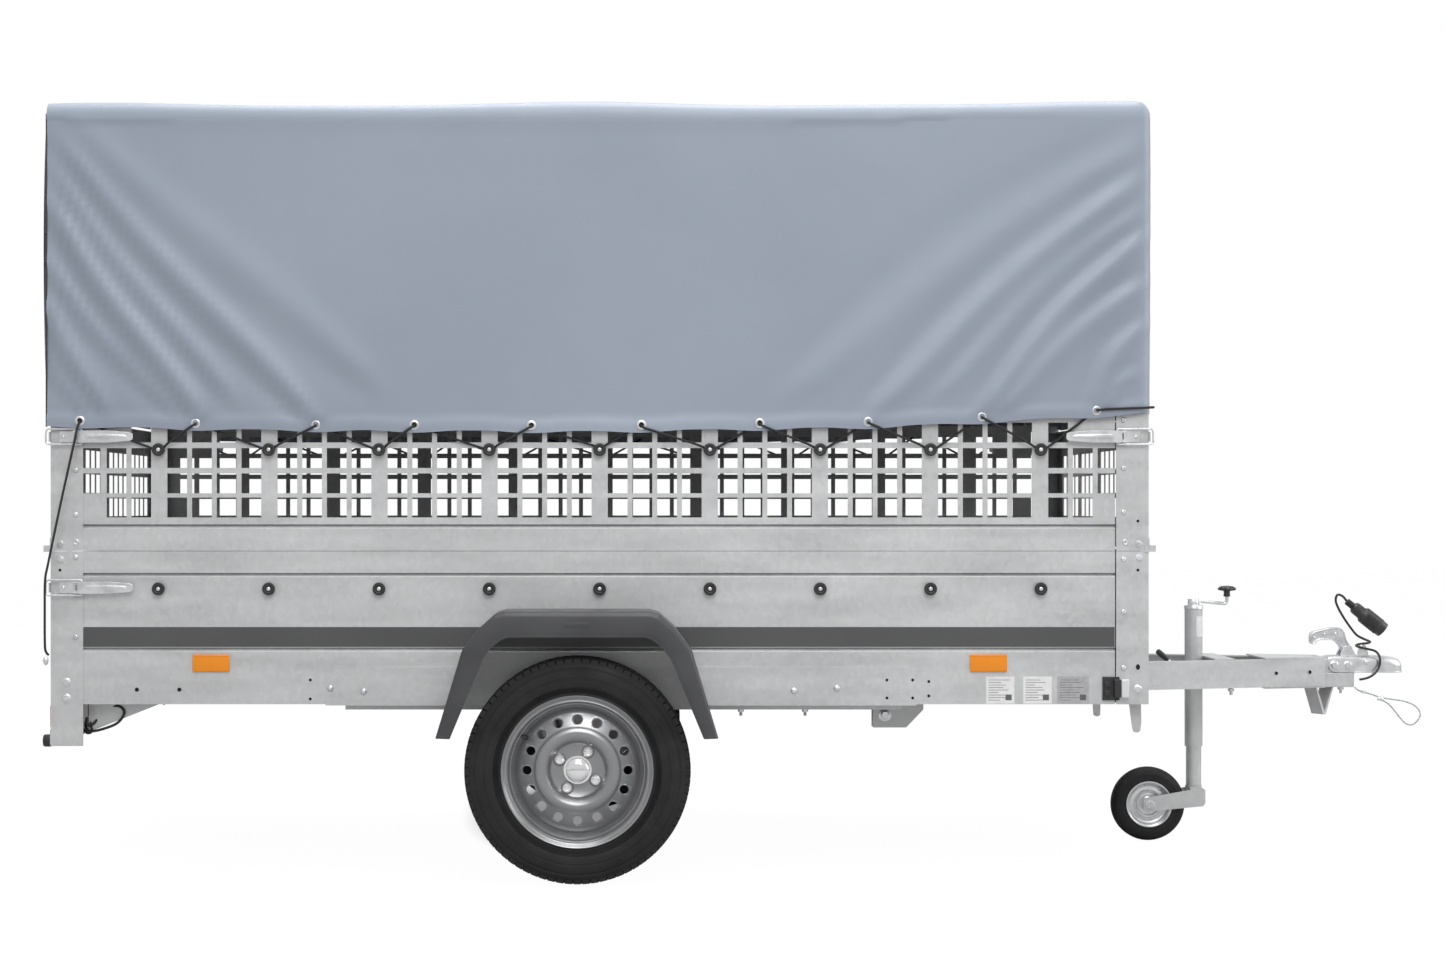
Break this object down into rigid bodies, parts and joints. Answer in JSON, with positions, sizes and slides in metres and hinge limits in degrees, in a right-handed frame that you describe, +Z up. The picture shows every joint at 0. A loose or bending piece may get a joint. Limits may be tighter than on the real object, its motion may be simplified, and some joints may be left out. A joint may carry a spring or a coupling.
{
  "type": "single-axle box trailer with lattice boards and cover",
  "caption": "Single-axle galvanised box trailer with lattice upper boards, hinged end gates, laced tarpaulin cover, jockey wheel and ball coupling.",
  "frame": {"origin": "on the ground, under the middle of the trailer's length and width, cables left out", "axes": "+X forwards to the coupling, +Y to the trailer's left-hand side, +Z up"},
  "size_m": [3.5925, 1.72, 1.912],
  "materials": {
    "galvanised_sheet": "hot-dip galvanised sheet, matt with fine spangle",
    "zinc_plated_steel": "bright zinc-plated, semi-gloss",
    "steel_rope": "stranded galvanised steel rope",
    "floor_board": "film-faced plywood, satin",
    "black_rubber": "moulded rubber, satin",
    "fender_plastic": "moulded plastic with a fine grain, satin",
    "cover_fabric": "PVC-coated polyester tarpaulin, soft sheen",
    "elastic_cord": "braided elastic cord",
    "amber_lens": "prismatic amber reflector, glossy",
    "red_lens": "glossy moulded lens",
    "black_plastic": "moulded plastic, satin",
    "cable_jacket": "PVC cable jacket, satin",
    "tyre_rubber": "tread rubber, matt",
    "rim_paint": "silver paint, satin"
  },
  "bodies": {
    "chassis": {"sills": "galvanised_sheet", "cross_members": "galvanised_sheet", "chassis_brackets": "galvanised_sheet", "drawbar_rail_left": "galvanised_sheet", "drawbar_rail_right": "galvanised_sheet", "axle_beam": "galvanised_sheet", "floor_panel": "floor_board", "corner_posts": "galvanised_sheet", "side_boards": "galvanised_sheet", "front_board": "galvanised_sheet", "side_lattices": "galvanised_sheet", "board_knobs": "black_rubber", "fasteners": "zinc_plated_steel", "fenders": "fender_plastic", "tarp_cover": "cover_fabric", "tarp_hoops": "zinc_plated_steel", "lacing_cord": "elastic_cord", "latch_bases": "zinc_plated_steel", "side_reflectors": "amber_lens", "marker_lamps": "black_plastic", "rear_lamp_beam": "galvanised_sheet", "rear_lamps": "red_lens", "jockey_clamp": "galvanised_sheet", "coupling_body": "zinc_plated_steel", "supply_cable": "cable_jacket", "supply_plug": "black_plastic", "safety_cable": "steel_rope"},
    "tailgate": {"tailgate": "galvanised_sheet"},
    "rear_gate": {"rear_lattice_gate": "galvanised_sheet"},
    "front_gate": {"front_lattice_gate": "galvanised_sheet"},
    "arm_left": {"swing_arm_left": "galvanised_sheet"},
    "arm_right": {"swing_arm_right": "galvanised_sheet"},
    "wheel_left": {"tyre_left": "tyre_rubber", "rim_left": "rim_paint", "hub_left": "zinc_plated_steel"},
    "wheel_right": {"tyre_right": "tyre_rubber", "rim_right": "rim_paint", "hub_right": "zinc_plated_steel"},
    "clamp_screw": {"clamp_handle": "zinc_plated_steel"},
    "jockey_leg": {"jockey_outer_tube": "galvanised_sheet"},
    "jockey_crank": {"jockey_spindle": "zinc_plated_steel", "crank_knob": "black_plastic"},
    "jockey_inner": {"jockey_inner_tube": "galvanised_sheet"},
    "jockey_swivel": {"jockey_fork": "galvanised_sheet"},
    "jockey_wheel": {"jockey_tyre": "tyre_rubber", "jockey_rim": "rim_paint"},
    "coupling_handle": {"coupling_lever": "zinc_plated_steel"},
    "coupling_lock": {"coupling_jaw": "zinc_plated_steel"},
    "latch_tail_left": {"lever_tail_left": "zinc_plated_steel"},
    "wire_tail_left": {"bail_tail_left": "zinc_plated_steel"},
    "latch_tail_right": {"lever_tail_right": "zinc_plated_steel"},
    "wire_tail_right": {"bail_tail_right": "zinc_plated_steel"},
    "latch_rear_left": {"lever_rear_left": "zinc_plated_steel"},
    "wire_rear_left": {"bail_rear_left": "zinc_plated_steel"},
    "latch_rear_right": {"lever_rear_right": "zinc_plated_steel"},
    "wire_rear_right": {"bail_rear_right": "zinc_plated_steel"},
    "latch_front_left": {"lever_front_left": "zinc_plated_steel"},
    "wire_front_left": {"bail_front_left": "zinc_plated_steel"},
    "latch_front_right": {"lever_front_right": "zinc_plated_steel"},
    "wire_front_right": {"bail_front_right": "zinc_plated_steel"}
  },
  "joints": [
    {"name": "tailgate_hinge", "type": "hinge", "parent": "chassis", "child": "tailgate", "pos_m": [-1.764, 0, 0.484], "axis": [0, -1, 0], "range_deg": [0, 90]},
    {"name": "rear_gate_hinge", "type": "hinge", "parent": "chassis", "child": "rear_gate", "pos_m": [-1.764, 0, 0.806], "axis": [0, -1, 0], "range_deg": [0, 90]},
    {"name": "front_gate_hinge", "type": "hinge", "parent": "chassis", "child": "front_gate", "pos_m": [0.962, 0, 0.806], "axis": [0, 1, 0], "range_deg": [0, 90]},
    {"name": "suspension_left", "type": "hinge", "parent": "chassis", "child": "arm_left", "pos_m": [-0.3025, 0.62, 0.37], "axis": [0, 1, 0], "range_deg": [-8, 10], "stiffness_Nm_per_rad": 2600, "springref_deg": -5.73},
    {"name": "wheel_spin_left", "type": "hinge", "parent": "arm_left", "child": "wheel_left", "pos_m": [-0.4525, 0.747, 0.2735], "axis": [0, 1, 0], "continuous": true},
    {"name": "suspension_right", "type": "hinge", "parent": "chassis", "child": "arm_right", "pos_m": [-0.3025, -0.62, 0.37], "axis": [0, 1, 0], "range_deg": [-8, 10], "stiffness_Nm_per_rad": 2600, "springref_deg": -5.73},
    {"name": "wheel_spin_right", "type": "hinge", "parent": "arm_right", "child": "wheel_right", "pos_m": [-0.4525, -0.747, 0.2735], "axis": [0, 1, 0], "continuous": true},
    {"name": "clamp_screw_turn", "type": "hinge", "parent": "chassis", "child": "clamp_screw", "pos_m": [1.1705, 0, 0.459], "axis": [0, 1, 0], "range_deg": [0, 80]},
    {"name": "jockey_clamp_slide", "type": "slide", "parent": "chassis", "child": "jockey_leg", "axis": [0, 0, 1], "range_m": [0, 0.12]},
    {"name": "jockey_crank_turn", "type": "hinge", "parent": "jockey_leg", "child": "jockey_crank", "pos_m": [1.2105, 0, 0.64], "axis": [0, 0, 1], "range_deg": [0, 7201]},
    {"name": "jockey_screw_slide", "type": "slide", "parent": "jockey_leg", "child": "jockey_inner", "axis": [0, 0, 1], "range_m": [0, 0.08]},
    {"name": "jockey_swivel_turn", "type": "hinge", "parent": "jockey_inner", "child": "jockey_swivel", "pos_m": [1.2105, 0, 0.15], "axis": [0, 0, 1], "continuous": true},
    {"name": "jockey_wheel_spin", "type": "hinge", "parent": "jockey_swivel", "child": "jockey_wheel", "pos_m": [1.0845, 0, 0.1], "axis": [0, 1, 0], "continuous": true},
    {"name": "coupling_handle_lift", "type": "hinge", "parent": "chassis", "child": "coupling_handle", "pos_m": [1.63, 0, 0.52], "axis": [0, 1, 0], "range_deg": [0, 60]},
    {"name": "coupling_lock_turn", "type": "hinge", "parent": "chassis", "child": "coupling_lock", "pos_m": [1.704, 0, 0.476], "axis": [0, 1, 0], "range_deg": [0, 12]},
    {"name": "latch_tail_left_lift", "type": "hinge", "parent": "chassis", "child": "latch_tail_left", "pos_m": [-1.693, 0.659, 0.71], "axis": [0, 0, 1], "range_deg": [0, 120]},
    {"name": "latch_tail_left_wire", "type": "hinge", "parent": "latch_tail_left", "child": "wire_tail_left", "pos_m": [-1.676, 0.6595, 0.71], "axis": [0, 0, -1], "range_deg": [0, 120]},
    {"name": "latch_tail_right_lift", "type": "hinge", "parent": "chassis", "child": "latch_tail_right", "pos_m": [-1.693, -0.659, 0.71], "axis": [0, 0, -1], "range_deg": [0, 120]},
    {"name": "latch_tail_right_wire", "type": "hinge", "parent": "latch_tail_right", "child": "wire_tail_right", "pos_m": [-1.676, -0.6595, 0.71], "axis": [0, 0, 1], "range_deg": [0, 120]},
    {"name": "latch_rear_left_lift", "type": "hinge", "parent": "chassis", "child": "latch_rear_left", "pos_m": [-1.693, 0.659, 1.082], "axis": [0, 0, 1], "range_deg": [0, 40]},
    {"name": "latch_rear_left_wire", "type": "hinge", "parent": "latch_rear_left", "child": "wire_rear_left", "pos_m": [-1.676, 0.6595, 1.082], "axis": [0, 0, -1], "range_deg": [0, 40]},
    {"name": "latch_rear_right_lift", "type": "hinge", "parent": "chassis", "child": "latch_rear_right", "pos_m": [-1.693, -0.659, 1.082], "axis": [0, 0, -1], "range_deg": [0, 40]},
    {"name": "latch_rear_right_wire", "type": "hinge", "parent": "latch_rear_right", "child": "wire_rear_right", "pos_m": [-1.676, -0.6595, 1.082], "axis": [0, 0, 1], "range_deg": [0, 40]},
    {"name": "latch_front_left_lift", "type": "hinge", "parent": "chassis", "child": "latch_front_left", "pos_m": [0.891, 0.659, 1.082], "axis": [0, 0, -1], "range_deg": [0, 120]},
    {"name": "latch_front_left_wire", "type": "hinge", "parent": "latch_front_left", "child": "wire_front_left", "pos_m": [0.874, 0.6595, 1.082], "axis": [0, 0, 1], "range_deg": [0, 120]},
    {"name": "latch_front_right_lift", "type": "hinge", "parent": "chassis", "child": "latch_front_right", "pos_m": [0.891, -0.659, 1.082], "axis": [0, 0, 1], "range_deg": [0, 120]},
    {"name": "latch_front_right_wire", "type": "hinge", "parent": "latch_front_right", "child": "wire_front_right", "pos_m": [0.874, -0.6595, 1.082], "axis": [0, 0, -1], "range_deg": [0, 120]}
  ],
  "couplings": [
    {"joint": "jockey_crank_turn", "follows": "jockey_screw_slide", "rad_per_m": 1570.8},
    {"joint": "coupling_lock_turn", "follows": "coupling_handle_lift", "ratio": 0.2},
    {"joint": "latch_tail_left_wire", "follows": "latch_tail_left_lift", "ratio": 1},
    {"joint": "latch_tail_right_wire", "follows": "latch_tail_right_lift", "ratio": 1},
    {"joint": "latch_rear_left_wire", "follows": "latch_rear_left_lift", "ratio": 1},
    {"joint": "latch_rear_right_wire", "follows": "latch_rear_right_lift", "ratio": 1},
    {"joint": "latch_front_left_wire", "follows": "latch_front_left_lift", "ratio": 1},
    {"joint": "latch_front_right_wire", "follows": "latch_front_right_lift", "ratio": 1}
  ]
}
